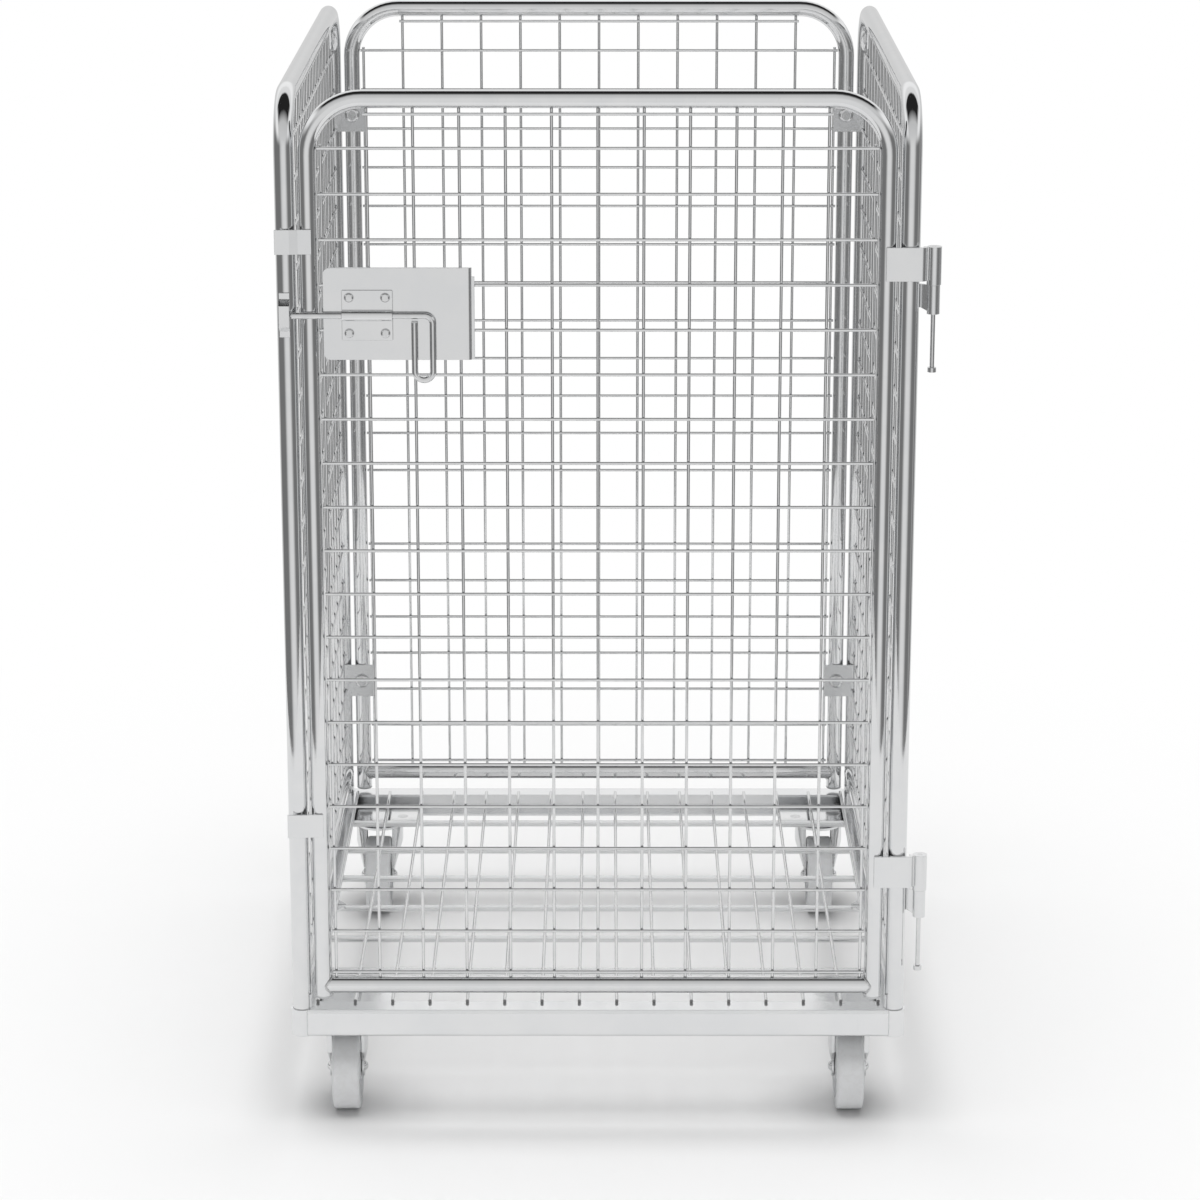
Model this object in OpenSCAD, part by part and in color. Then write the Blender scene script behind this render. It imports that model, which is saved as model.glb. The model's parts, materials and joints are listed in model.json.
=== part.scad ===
// Roll cage container: a base on casters, two plug-in side frames, a bolted back and a hinged door.
// Millimetres. The origin is the middle of the footprint on the floor, +Z up, the door faces -Y.

/* [Base] */
// Width of the base across the outer faces of its rails
base_w = 706; // [640:2:900]
// Depth of the base across the outer faces of its rails
base_d = 800; // [720:2:1000]
// Height of the base rails
rail_h = 32; // [30:1:36]
// Width of the flange on top of the rails
flange_w = 30; // [26:1:36]
// Thickness of the rail steel
rail_t = 3; // [2:0.5:4]
// Width of the lip under the rails
lip_w = 23; // [15:1:23]
// Outer radius of the bends between flange, skirt and lip
rail_bend_r = 4; // [4:0.5:6]
// Outer diameter of the corner sockets that hold the posts
socket_od = 26; // [25:0.5:30]
// Thickness of the floor of the sockets
socket_floor_t = 3; // [2:0.5:5]
// Diameter of the drain hole in the floor of a socket
socket_drain_d = 8; // [4:1:12]
// Width of the corner plates that carry the casters
corner_w = 110; // [104:1:120]
// Length of the corner plates, front to back
corner_l = 112; // [110:1:120]
// Thickness of the corner plates
corner_t = 4; // [3:0.5:6]
// Drop from the rail tops to the upper side of the corner plates
corner_drop = 12; // [12:1:15]

/* [Deck] */
// Diameter of the deck wires
deck_wire_d = 4; // [3:0.5:6]
// Distance between deck wires
deck_pitch = 43.1; // [35:0.1:60]
// Least distance from the side of the base to the first deck wire
deck_edge = 29; // [28:1:50]
// Length of wire that lies on the flange at each end
deck_lap = 4.5; // [3:0.5:8]
// Diameter of the cross bars below the deck wires
crossbar_d = 8; // [6:0.5:10]
// Distance between cross bars
crossbar_pitch = 106; // [90:1:140]
// Number of cross bars
crossbar_count = 6; // [4:1:6]
// Which cross bar has the gussets, counted from the front
gusset_index = 2; // [0:1:3]
// Length of the gussets along the side rails
gusset_l = 16; // [10:1:30]
// Width of the gussets along their cross bar
gusset_w = 11; // [8:1:30]
// Thickness of the gussets
gusset_t = 3; // [2:0.5:4]

/* [Panels] */
// Height of the panels above the rail tops
panel_h = 1058; // [800:1:1600]
// Diameter of the side frame tube
post_d = 22; // [20:0.5:23]
// Diameter of the tube of the door, the back and the bottom rails
tube_d = 20; // [18:0.5:21]
// Wall of the tubes
tube_wall = 1.5; // [1:0.25:2.5]
// Centreline radius of the tube bends
bend_r = 60; // [45:1:80]
// Height of the bottom rails above the rail tops
low_rail_rise = 28.5; // [24:0.5:50]
// Height of the plugged tube ends of the door above the rail tops
door_foot_rise = 13.5; // [6:0.5:14]
// Height of the plugged tube ends of the back above the rail tops
back_foot_rise = 5; // [5:0.5:12]
// Thickness of the end of a tube plug
plug_t = 3; // [2:0.5:4]
// Radius of the rounded edge of a tube plug
plug_edge_r = 2; // [1:0.25:2]
// Length of the spigot of a tube plug
plug_l = 10; // [5:1:20]
// Gap between a post and the tube of the door or the back
panel_gap = 4; // [3:0.5:8]
// Diameter of the mesh wires
wire_d = 3.5; // [3:0.25:5]
// Distance between mesh wires of the door and the back, and between all rows
mesh_pitch = 50; // [40:0.5:70]
// Distance between the upright wires of the sides
side_pitch = 49; // [40:0.5:70]
// Least gap between the upright wires of the door and back and the frame tubes
mesh_edge = 3; // [3:0.5:10]
// Least gap between the upright wires of the sides and the posts
side_edge = 6; // [6:0.5:12]
// Height of the first row above the bottom rail
first_row_rise = 6.5; // [5:0.5:20]
// Least distance from the top of a panel to its highest full row
top_row_drop = 62; // [60:1:110]
// Distance from the top of a panel to its short top row
short_row_drop = 26; // [25:0.5:40]
// Length of wire that stands past the last crossing
wire_end = 2; // [2:0.5:3]

/* [Back brackets] */
// Width of the plates that join the back to the posts
bracket_w = 44; // [36:1:50]
// Height of the bracket plates
bracket_h = 43; // [30:1:60]
// Thickness of the bracket plates
bracket_t = 3; // [2:0.5:5]
// Distance from the outer edge of a bracket plate to the middle of the post
bracket_lap = 3; // [2:0.5:8]
// Distance from the top of the panels to the upper brackets
bracket_drop = 144; // [120:1:300]
// Height of the lower brackets above the rail tops
bracket_rise = 159; // [120:1:300]
// Diameter of the bracket bolts
bracket_bolt_d = 8; // [6:0.5:10]
// Diameter of the bracket bolt heads
bracket_head_d = 18; // [14:0.5:20]
// Height of the bracket bolt heads
bracket_head_h = 5; // [4:0.5:5]
// Radius of the round rims of the bracket bolt heads
bracket_rim_r = 3.5; // [2:0.25:3.75]
// Width across the flats of the bracket nuts
bracket_nut_w = 13; // [11:0.5:17]
// Thickness of the bracket nuts
bracket_nut_t = 6.5; // [5:0.5:8]

/* [Door hinges] */
// Distance from the post to the hinge axis
hinge_out = 15; // [13:0.5:24]
// Diameter of the hinge pins
pin_d = 5; // [4:0.5:7]
// Outer diameter of the rolled barrel on the straps
barrel_d = 16; // [14:0.5:18]
// Height of the rolled barrels
barrel_h = 42; // [30:1:60]
// Height of the strap plates
strap_h = 37; // [25:1:42]
// Thickness of the strap plates
strap_t = 4; // [3:0.5:5]
// Outer radius of the bend of the straps beside the post
strap_turn_r = 6.5; // [5.5:0.5:7]
// Distance that the barrels lie back from the front of the straps
barrel_set = 2; // [1:0.5:3]
// Length of strap that lies on the door tube past its middle
strap_lap = 1.5; // [1:0.5:8]
// Outer diameter of the fixed knuckles
knuckle_d = 14; // [12:0.5:17]
// Height of the fixed knuckles
knuckle_h = 32; // [20:1:50]
// Thickness of the web between a knuckle and its post
knuckle_web_t = 4; // [3:0.5:5]
// Angle of the web from the plane of the door
knuckle_turn = 25; // [12:1:26]
// Height from the lower end of a knuckle to the lower edge of its web
knuckle_rise = 6; // [3:0.5:12]
// Length of pin below the fixed knuckles
pin_tail = 65; // [20:1:80]
// Diameter of the head at the lower end of the pins
pin_head_d = 9.5; // [8.5:0.5:12]
// Height of the head at the lower end of the pins
pin_head_h = 5; // [3:0.5:8]
// Distance from the top of the panels to the lower end of the upper barrel
hinge_drop = 212; // [150:1:400]
// Height of the lower end of the lower barrel above the rail tops
hinge_rise = 146; // [130:1:300]

/* [Door clips] */
// Height of the clips that lap the left post
clip_h = 27; // [18:1:40]
// Thickness of the clips
clip_t = 3; // [2:0.5:4]
// Distance that the clips step forward in front of the post
clip_step = 2; // [0.5:0.25:4]
// Width of the slope of the clips
clip_slope_w = 9.5; // [6:0.5:12]
// Length of clip that lies on the door tube past its middle
clip_lap = 4; // [2:0.5:8]
// Distance from the top of the panels to the middle of the upper clip
clip_drop = 164; // [120:1:190]
// Height of the middle of the lower clip above the rail tops
clip_rise = 224.5; // [180:0.5:400]

/* [Latch] */
// Distance from the top of the panels to the bolt
bolt_drop = 245; // [240:1:500]
// Diameter of the bolt
bolt_d = 7; // [6:0.5:9]
// Distance from the door tube to the latch plate
latch_side_gap = 5.5; // [4:0.5:20]
// Width of the latch plate
latch_w = 162; // [140:1:200]
// Width of the lip along the rolled edge of the latch plate
latch_lip_w = 3; // [1.5:0.5:5]
// Distance from the top of the latch plate to its lip
latch_lip_drop = 10; // [5:1:20]
// Height of the latch plate
latch_h = 102; // [80:1:140]
// Height of the bolt above the middle of the latch plate
bolt_above = -1; // [-10:1:10]
// Thickness of the latch plate
latch_t = 2; // [1.5:0.25:2.5]
// Radius of the left corners of the latch plate
latch_corner_r = 7.5; // [4:0.5:15]
// Width and height of the bolt guide
guide_w = 55; // [45:1:70]
// Thickness of the bolt guide
guide_t = 2; // [1.5:0.25:3]
// Distance from the left edge of the latch plate to the bolt guide
guide_inset = 20.5; // [10:0.5:30]
// Distance between the rivets of the bolt guide
rivet_pitch = 39.5; // [34:0.5:42]
// Diameter of the rivets
rivet_d = 5; // [4:0.5:6]
// Diameter of the rivet heads
rivet_head_d = 10; // [8:0.5:11]
// Height of the rivet heads
rivet_head_h = 3; // [2.5:0.25:4]
// Radius of the round rims of the rivet heads
rivet_rim_r = 2.2; // [1:0.1:2.4]
// Distance from the bolt guide to the handle
handle_reach = 24; // [22:0.5:40]
// Radius of the bend at the top of the handle
handle_bend_r = 9; // [8:0.5:14]
// Distance between the two legs of the handle
handle_gap = 20; // [16:0.5:30]
// Length of the handle below the bolt
handle_drop = 75; // [55:1:90]
// Gap between the free end of the handle and the bolt
handle_end_gap = 4; // [2:0.5:10]
// Distance that the bolt is drawn clear of its keeper
bolt_clear = 2; // [1:0.5:5]
// Width of the keeper
keeper_w = 11.5; // [8:0.5:14]
// Height of the raised face of the keeper
keeper_face_h = 23; // [18:0.5:30]
// Height of each slope of the keeper
keeper_slope_h = 6.5; // [4:0.5:10]
// Height of each foot of the keeper
keeper_foot_h = 6.5; // [4:0.5:15]
// Thickness of the keeper
keeper_t = 2; // [1.5:0.25:3]
// Distance from the outer side of the post to the keeper
keeper_inset = 3.5; // [2:0.5:6]

/* [Casters] */
// Diameter of the wheels
wheel_d = 100; // [80:1:125]
// Width of the wheels
wheel_w = 32; // [26:1:36]
// Radius of the rounded tread edges
tread_edge_r = 4; // [2:0.5:6]
// Depth of the wheel rim
rim_depth = 12; // [8:0.5:16]
// Diameter of the wheel hub
hub_d = 32; // [26:1:38]
// Thickness of the wheel web
web_t = 13; // [8:1:20]
// Diameter of the axles
axle_d = 8; // [6:0.5:10]
// Diameter of the axle bushes
bush_d = 14; // [13:0.5:18]
// Diameter of the riveted axle ends
axle_head_d = 12; // [11:0.5:16]
// Height of the riveted axle ends
axle_head_h = 4; // [2.5:0.5:6]
// Height from the top of a wheel to the top of its caster
caster_head_h = 26; // [26:1:40]
// Width of the caster top plates
caster_plate_w = 84; // [80:1:86]
// Length of the caster top plates
caster_plate_l = 66; // [60:1:68]
// Distance from the middle of the corner plates inwards to the casters
caster_in = 2.5; // [1:0.5:5]
// Thickness of the caster top plates
caster_plate_t = 3; // [2.5:0.5:4]
// Distance between the caster bolts across the base
caster_bolt_x = 64; // [60:1:66]
// Distance between the caster bolts along the base
caster_bolt_y = 48; // [48:1:50]
// Diameter of the caster bolts
caster_bolt_d = 8; // [6:0.5:8]
// Diameter of the flush heads of the caster bolts
caster_head_d = 13; // [11:0.5:14]
// Thickness of the flush heads of the caster bolts
caster_head_t = 2; // [1.5:0.25:2.5]
// Width across the flats of the caster nuts
caster_nut_w = 13; // [10:0.5:13]
// Thickness of the caster nuts
caster_nut_t = 5; // [4:0.5:5.5]
// Thickness of the fork and bracket steel
fork_t = 3; // [2.5:0.25:4]
// Width of the forks at the top
fork_top_w = 61; // [54:1:62]
// Width of the fixed brackets at the top
fixed_top_w = 47; // [46:1:52]
// Distance from the tops of the wheels down to where the fork legs narrow
fork_shoulder = 10; // [6:1:14]
// Distance from the tops of the wheels down to where the legs of the fixed brackets narrow
fixed_shoulder = 28; // [20:1:28]
// Width of the legs at the top, seen from the side
leg_w = 30; // [24:1:32]
// Outer radius of the rounded edges of the legs
leg_edge_r = 9; // [7:0.5:10]
// Height of the necks of the legs above the axles
leg_neck = 8.5; // [8:0.25:9]
// Width of the necks of the legs
leg_neck_w = 14; // [12:0.5:16]
// Radius of the leg ends round the axles
leg_end_r = 12; // [11:0.5:14]
// Distance from the swivel axis to the axle of a rear wheel
trail = 26; // [15:1:32]
// Diameter of the ball race on the swivel plates
race_d = 52; // [44:1:56]
// Diameter of the king pins
king_pin_d = 12; // [10:0.5:14]
// Diameter of the king pin heads
king_head_d = 20; // [18:0.5:24]
// Thickness of the king pin heads
king_head_h = 3; // [2:0.5:4]
// Thickness of the ball race and its gap above the fork
race_h = 8.3; // [7:0.1:9]

/* [Clearances] */
// Hairline gap at welded, riveted and bolted seats
seat = 0.05; // [0.02:0.01:0.1]
// Radial clearance of pins and axles that turn
run_fit = 0.05; // [0.02:0.01:0.1]
// Radial clearance of bolts in their holes
bolt_fit = 0.2; // [0.1:0.05:0.4]
// Gap between flat faces that turn or slide past each other
face_gap = 0.3; // [0.2:0.05:0.5]
// Gap between the posts and what the door swings past them
swing_gap = 0.5; // [0.4:0.1:1]
// Gap between the wheel hubs and the fork legs
wheel_gap = 1; // [0.5:0.1:2]

/* [Hidden] */
$fn = 48;
hex_sides = 6;
cut = 1;

post_r = post_d / 2;
tube_r = tube_d / 2;
wire_r = wire_d / 2;
socket_r = socket_od / 2;
bolt_r = bolt_d / 2;
barrel_r = barrel_d / 2;

// Heights, from the floor up
axle_z = wheel_d / 2;
caster_z = wheel_d + caster_head_h;
corner_z = caster_z + corner_t;
deck_z = corner_z + corner_drop;
skirt_z = deck_z - rail_h;
top_z = deck_z + panel_h;
low_rail_z = deck_z + low_rail_rise;

// Places of the posts and of the tubes of the door and the back
post_x = base_w / 2 - socket_r;
post_y = base_d / 2 - socket_r;
panel_x = post_x - post_r - panel_gap - tube_r;
post_front = -post_y - post_r;
strap_back = post_front - swing_gap;
strap_front = strap_back - strap_t;
door_y = strap_back + tube_r + seat;
bracket_back = post_y - post_r - seat;
back_y = bracket_back + seat + tube_r;

// Hinge axis
axis_x = post_x + post_r + hinge_out;
axis_y = strap_front + barrel_set + barrel_r;
hinge_feet = [top_z - hinge_drop, deck_z + hinge_rise];

// Latch
bolt_z = top_z - bolt_drop;
bolt_y = post_front - swing_gap - bolt_r;
latch_front = bolt_y + bolt_r + face_gap;
latch_left = -panel_x + tube_r + latch_side_gap;
latch_z = bolt_z - bolt_above - latch_h / 2;
mesh_front = door_y - wire_r - seat - wire_d;
fold_back = mesh_front - seat;
fold_r = fold_back - latch_front;
fold_x = latch_left + latch_w - fold_r;
guide_left = latch_left + guide_inset;
guide_front = latch_front - seat - guide_t;
guide_inner_r = bolt_r + face_gap;
handle_x = guide_left + guide_w + handle_reach;
keeper_left = -post_x - post_r + keeper_inset;
keeper_right = keeper_left + keeper_w;
bolt_tip = keeper_right + bolt_clear;

// Casters
caster_x = base_w / 2 - rail_t - seat - corner_w / 2 - caster_in;
caster_y = base_d / 2 - rail_t - seat - corner_l / 2;
plate_z = caster_z - caster_plate_t;
crown_z = plate_z - race_h;
leg_in = wheel_w / 2 + wheel_gap;
leg_out = leg_in + fork_t;
bush_l = 2 * leg_in - 2 * seat;

// Upright wires of the door and the back, and of the sides
panel_cols_n = floor((panel_x - tube_r - mesh_edge) / mesh_pitch);
panel_cols = [for (i = [-panel_cols_n:panel_cols_n]) i * mesh_pitch];
side_cols_n = floor((post_y - post_r - side_edge) / side_pitch - 0.5);
side_cols = [for (i = [-side_cols_n - 1:side_cols_n]) (i + 0.5) * side_pitch];

// Rows of wire, the last one short
row_z0 = low_rail_z + tube_r + first_row_rise;
row_n = floor((top_z - top_row_drop - row_z0) / mesh_pitch);
rows = [for (k = [0:row_n]) row_z0 + k * mesh_pitch];
top_row_z = rows[row_n];
short_row_z = top_z - short_row_drop;

// Deck
deck_n = floor((base_w / 2 - deck_edge) / deck_pitch + 0.5);
deck_xs = [for (i = [-deck_n:deck_n - 1]) (i + 0.5) * deck_pitch];
deck_half_l = base_d / 2 - flange_w + deck_lap;
crossbar_half = base_w / 2 - flange_w - seat;
function crossbar_y(k) = (k - (crossbar_count - 1) / 2) * crossbar_pitch;

// Repeating and basic shapes

module both_sides() {
    for (s = [0, 1])
        mirror([s, 0, 0])
            children();
}

module corners() {
    for (s = [0, 1])
        mirror([0, s, 0])
            both_sides()
                children();
}

// Bar along X, centred on the YZ plane
module bar_x(d, half) {
    translate([-half, 0, 0])
        rotate([0, 90, 0])
            cylinder(d = d, h = 2 * half);
}

// Domed head on the XY plane
module dome(d, h) {
    ball_r = (d * d / 4 + h * h) / (2 * h);
    rotate_extrude()
        intersection() {
            translate([0, h - ball_r])
                circle(ball_r);
            square([d / 2, h]);
        }
}

// Flat head with a round rim on the XY plane
module pan_head(d, h, rim) {
    rotate_extrude() {
        square([d / 2 - rim, h]);
        square([d / 2, h - rim]);
        intersection() {
            translate([d / 2 - rim, h - rim])
                circle(rim);
            square([d / 2, h]);
        }
    }
}

module hexagon(w, h) {
    cylinder(d = w / cos(180 / hex_sides), h = h, $fn = hex_sides);
}

// Flat profile in the YZ plane, extruded along X from x
module along_x(x, length) {
    translate([x, 0, 0])
        rotate([90, 0, 90])
            linear_extrude(length)
                children();
}

// Flat profile in the XZ plane, extruded along Y and centred on it
module along_y(length) {
    rotate([90, 0, 0])
        linear_extrude(length, center = true)
            children();
}

// Base

// Section of a rail, a channel: y from the outer face inwards, z from the lip's underside up
module rail_section() {
    difference() {
        union() {
            translate([0, rail_bend_r])
                square([flange_w, rail_h - 2 * rail_bend_r]);
            translate([rail_bend_r, 0])
                square([flange_w - rail_bend_r, rail_h]);
            for (z = [rail_bend_r, rail_h - rail_bend_r])
                translate([rail_bend_r, z])
                    circle(rail_bend_r);
        }
        translate([rail_t, rail_t])
            square([flange_w, rail_h - 2 * rail_t]);
        translate([lip_w, -cut])
            square([flange_w, rail_h / 2 + cut]);
    }
}

// Rail along X with its outer face at -half_span, mitred and coped round the sockets
module rail(half_len, half_span) {
    skirt_half = half_len - socket_r - socket_r / 2;
    difference() {
        intersection() {
            translate([0, -half_span, skirt_z])
                along_x(-skirt_half, 2 * skirt_half)
                    rail_section();
            linear_extrude(deck_z + cut)
                polygon([
                    [-half_len, -half_span],
                    [half_len, -half_span],
                    [half_len - flange_w, -half_span + flange_w],
                    [-half_len + flange_w, -half_span + flange_w]
                ]);
        }
        both_sides()
            translate([half_len - socket_r, -half_span + socket_r, skirt_z - cut])
                cylinder(r = socket_r + seat, h = rail_h + 2 * cut);
    }
}

module front_rail() {
    color("lightgray")
        rail(base_w / 2, base_d / 2);
}

module rear_rail() {
    color("lightgray")
        mirror([0, 1, 0])
            rail(base_w / 2, base_d / 2);
}

module right_rail() {
    color("lightgray")
        rotate([0, 0, 90])
            rail(base_d / 2, base_w / 2);
}

module left_rail() {
    color("lightgray")
        mirror([1, 0, 0])
            rotate([0, 0, 90])
                rail(base_d / 2, base_w / 2);
}

module post_sockets() {
    color("silver")
        corners()
            translate([post_x, post_y, skirt_z])
                difference() {
                    cylinder(d = socket_od, h = rail_h);
                    translate([0, 0, socket_floor_t])
                        cylinder(r = post_r + run_fit, h = rail_h);
                    translate([0, 0, -cut])
                        cylinder(d = socket_drain_d, h = rail_h);
                }
}

// Children at the four bolts of every caster
module caster_bolt_places() {
    corners()
        translate([caster_x, caster_y, 0])
            for (x = [-0.5, 0.5], y = [-0.5, 0.5])
                translate([x * caster_bolt_x, y * caster_bolt_y, 0])
                    children();
}

module corner_plates() {
    color("gainsboro")
        difference() {
            corners()
                translate([base_w / 2 - rail_t - seat - corner_w, base_d / 2 - rail_t - seat - corner_l,
                    caster_z + seat])
                    cube([corner_w, corner_l, corner_t - seat]);
            corners()
                translate([post_x, post_y, skirt_z]) {
                    cylinder(r = socket_r + seat, h = rail_h);
                    cube([socket_r, socket_r, rail_h]);
                }
            caster_bolt_places() {
                translate([0, 0, caster_z - cut])
                    cylinder(r = caster_bolt_d / 2 + bolt_fit, h = corner_t + 2 * cut);
                translate([0, 0, corner_z - caster_head_t - seat])
                    cylinder(r = caster_head_d / 2 + seat, h = caster_head_t + cut);
            }
        }
}

// Deck

module deck_crossbars() {
    color("silver")
        for (k = [0:crossbar_count - 1])
            translate([0, crossbar_y(k), deck_z - crossbar_d / 2])
                bar_x(crossbar_d, crossbar_half);
}

module deck_gussets() {
    color("gainsboro")
        translate([0, crossbar_y(gusset_index), deck_z - gusset_t])
            both_sides()
                for (s = [0, 1])
                    mirror([0, s, 0])
                        translate([crossbar_half, crossbar_d / 2 + seat, 0])
                            linear_extrude(gusset_t)
                                polygon([[0, 0], [0, gusset_l], [-gusset_w, 0]]);
}

module deck_wires() {
    color("silver")
        for (x = deck_xs)
            translate([x, 0, deck_z + seat + deck_wire_d / 2])
                rotate([0, 0, 90])
                    bar_x(deck_wire_d, deck_half_l);
}

// Panels

// Solid bar bent to an upside-down U in the XZ plane, between z and the centreline height top
module bent_bar(d, half, z, top) {
    both_sides() {
        translate([half, 0, z])
            cylinder(d = d, h = top - bend_r - z);
        translate([half - bend_r, 0, top - bend_r])
            rotate([90, 0, 0])
                rotate_extrude(angle = 90)
                    translate([bend_r, 0])
                        circle(d = d);
    }
    translate([0, 0, top])
        bar_x(d, half - bend_r);
}

// Bent tube frame, open at its two feet
module tube_frame(d, half, foot_z) {
    difference() {
        bent_bar(d, half, foot_z, top_z - d / 2);
        bent_bar(d - 2 * tube_wall, half, foot_z - cut, top_z - d / 2);
    }
}

// Rounded plugs in the two tube ends of a panel whose ends are at foot_z
module tube_plugs(foot_z) {
    both_sides()
        translate([panel_x, 0, foot_z]) {
            rotate_extrude() {
                translate([0, plug_edge_r])
                    square([tube_r, plug_t - plug_edge_r]);
                square([tube_r - plug_edge_r, plug_t]);
                intersection() {
                    translate([tube_r - plug_edge_r, plug_edge_r])
                        circle(plug_edge_r);
                    translate([tube_r - plug_edge_r, 0])
                        square(plug_edge_r);
                }
            }
            cylinder(r = tube_r - tube_wall - seat, h = plug_t + plug_l);
        }
}

// Bottom rail between two uprights of diameter d, coped to them
module low_rail(d, half) {
    translate([0, 0, low_rail_z])
        difference() {
            bar_x(tube_d, half);
            bar_x(tube_d - 2 * tube_wall, half + cut);
            both_sides()
                translate([half, 0, -tube_d])
                    cylinder(d = d + 2 * seat, h = 2 * tube_d);
        }
}

// Height of the underside of a frame tube of diameter d above a wire at x
function under_tube(x, d, half) =
    let (past = abs(x) + wire_r - (half - bend_r))
    past <= 0
        ? top_z - d
        : top_z - d / 2 - bend_r + sqrt(pow(bend_r - d / 2, 2) - pow(past, 2));

// Upper end of the upright wire at x
function wire_top(x, d, half) =
    abs(x) + wire_r <= half - bend_r
        ? under_tube(x, d, half) - seat
        : min(under_tube(x, d, half) - seat, top_row_z + wire_r + wire_end);

// Half length of the row at height z: it ends just past the last upright wire that it can reach
function row_half(z, cols, d, half) =
    max([for (x = cols) if (under_tube(x, d, half) > z + wire_d) x]) + wire_r + wire_end;

// Upright wires in the XZ plane, with the rows on their -Y side
module wire_mesh(cols, d, half) {
    foot_z = low_rail_z + tube_r + seat;
    for (x = cols)
        translate([x, 0, foot_z])
            cylinder(d = wire_d, h = wire_top(x, d, half) - foot_z);
    for (z = concat(rows, [short_row_z]))
        translate([0, -wire_d - seat, z])
            bar_x(wire_d, row_half(z, cols, d, half));
}

// A side panel's children, drawn in the XZ plane, turned to the right side with -Y inwards
module on_right() {
    translate([post_x, 0, 0])
        rotate([0, 0, -90])
            children();
}

module on_left() {
    mirror([1, 0, 0])
        on_right()
            children();
}

module side_frame() {
    tube_frame(post_d, post_y, skirt_z + socket_floor_t + seat);
}

module left_side_frame() {
    color("silver")
        on_left()
            side_frame();
}

module right_side_frame() {
    color("silver")
        on_right()
            side_frame();
}

module left_side_rail() {
    color("silver")
        on_left()
            low_rail(post_d, post_y);
}

module right_side_rail() {
    color("silver")
        on_right()
            low_rail(post_d, post_y);
}

module left_side_mesh() {
    color("darkgray")
        on_left()
            wire_mesh(side_cols, post_d, post_y);
}

module right_side_mesh() {
    color("darkgray")
        on_right()
            wire_mesh(side_cols, post_d, post_y);
}

// Children at the four bolts that hold the back, with the bolt axis along +Y from the plate's face
module bracket_places() {
    both_sides()
        for (z = [top_z - bracket_drop, deck_z + bracket_rise])
            translate([panel_x, bracket_back - bracket_t, z])
                rotate([-90, 0, 0])
                    children();
}

module bracket_bolt_holes() {
    bracket_places()
        translate([0, 0, -cut])
            cylinder(r = bracket_bolt_d / 2 + bolt_fit, h = bracket_t + tube_d + 2 * cut);
}

module back_frame() {
    color("silver")
        difference() {
            translate([0, back_y, 0])
                tube_frame(tube_d, panel_x, deck_z + back_foot_rise + plug_t + seat);
            bracket_bolt_holes();
        }
}

module back_rail() {
    color("silver")
        translate([0, back_y, 0])
            low_rail(tube_d, panel_x);
}

module back_mesh() {
    color("darkgray")
        translate([0, back_y, 0])
            wire_mesh(panel_cols, tube_d, panel_x);
}

module back_plugs() {
    color("lightgray")
        translate([0, back_y, 0])
            tube_plugs(deck_z + back_foot_rise);
}

module bracket_plates() {
    color("gainsboro")
        difference() {
            bracket_places()
                translate([post_x - panel_x + bracket_lap - bracket_w, -bracket_h / 2, 0])
                    cube([bracket_w, bracket_h, bracket_t]);
            bracket_bolt_holes();
        }
}

module bracket_bolts() {
    color("lightgray")
        bracket_places() {
            mirror([0, 0, 1])
                translate([0, 0, seat])
                    pan_head(bracket_head_d, bracket_head_h, bracket_rim_r);
            translate([0, 0, -seat])
                cylinder(d = bracket_bolt_d, h = bracket_t + tube_d + bracket_nut_t + 3 * seat);
        }
}

module bracket_nuts() {
    color("gray")
        bracket_places()
            translate([0, 0, bracket_t + tube_d + 2 * seat])
                difference() {
                    hexagon(bracket_nut_w, bracket_nut_t);
                    translate([0, 0, -cut])
                        cylinder(r = bracket_bolt_d / 2 + seat, h = bracket_nut_t + 2 * cut);
                }
}

// Door

module door_frame() {
    color("silver")
        translate([0, door_y, 0])
            tube_frame(tube_d, panel_x, deck_z + door_foot_rise + plug_t + seat);
}

module door_rail() {
    color("silver")
        translate([0, door_y, 0])
            low_rail(tube_d, panel_x);
}

module door_mesh() {
    color("darkgray")
        translate([0, door_y, 0])
            wire_mesh(panel_cols, tube_d, panel_x);
}

module door_plugs() {
    color("lightgray")
        translate([0, door_y, 0])
            tube_plugs(deck_z + door_foot_rise);
}

// Plan of a hinge strap: flat in front of the post, then bent back beside it to meet the barrel
module strap_plan() {
    plate_left = panel_x - strap_lap;
    turn = [axis_x - barrel_r - strap_turn_r, strap_front + strap_turn_r];
    plate_w = turn.x - plate_left;
    roll_r = (barrel_d + pin_d) / 4;
    difference() {
        intersection() {
            union() {
                translate([plate_left, strap_front])
                    square([plate_w, strap_turn_r]);
                translate(turn)
                    circle(strap_turn_r);
            }
            translate([plate_left, strap_front])
                square([plate_w + strap_turn_r, strap_turn_r]);
        }
        translate([plate_left - cut, strap_back])
            square([plate_w + cut, strap_turn_r]);
        translate(turn)
            circle(strap_turn_r - strap_t);
    }
    translate([axis_x - barrel_r - strap_t, turn.y - cut])
        square([barrel_r + strap_t - roll_r, axis_y - turn.y + cut]);
}

// Hinge strap whose rolled barrel starts at height z
module strap(z) {
    difference() {
        union() {
            translate([axis_x, axis_y, z])
                cylinder(d = barrel_d, h = barrel_h);
            translate([0, 0, z + barrel_h - strap_h])
                linear_extrude(strap_h)
                    strap_plan();
        }
        translate([axis_x, axis_y, z - cut])
            cylinder(r = pin_d / 2 + seat, h = barrel_h + 2 * cut);
    }
}

module upper_strap() {
    color("gainsboro")
        strap(hinge_feet[0]);
}

module lower_strap() {
    color("gainsboro")
        strap(hinge_feet[1]);
}

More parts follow.
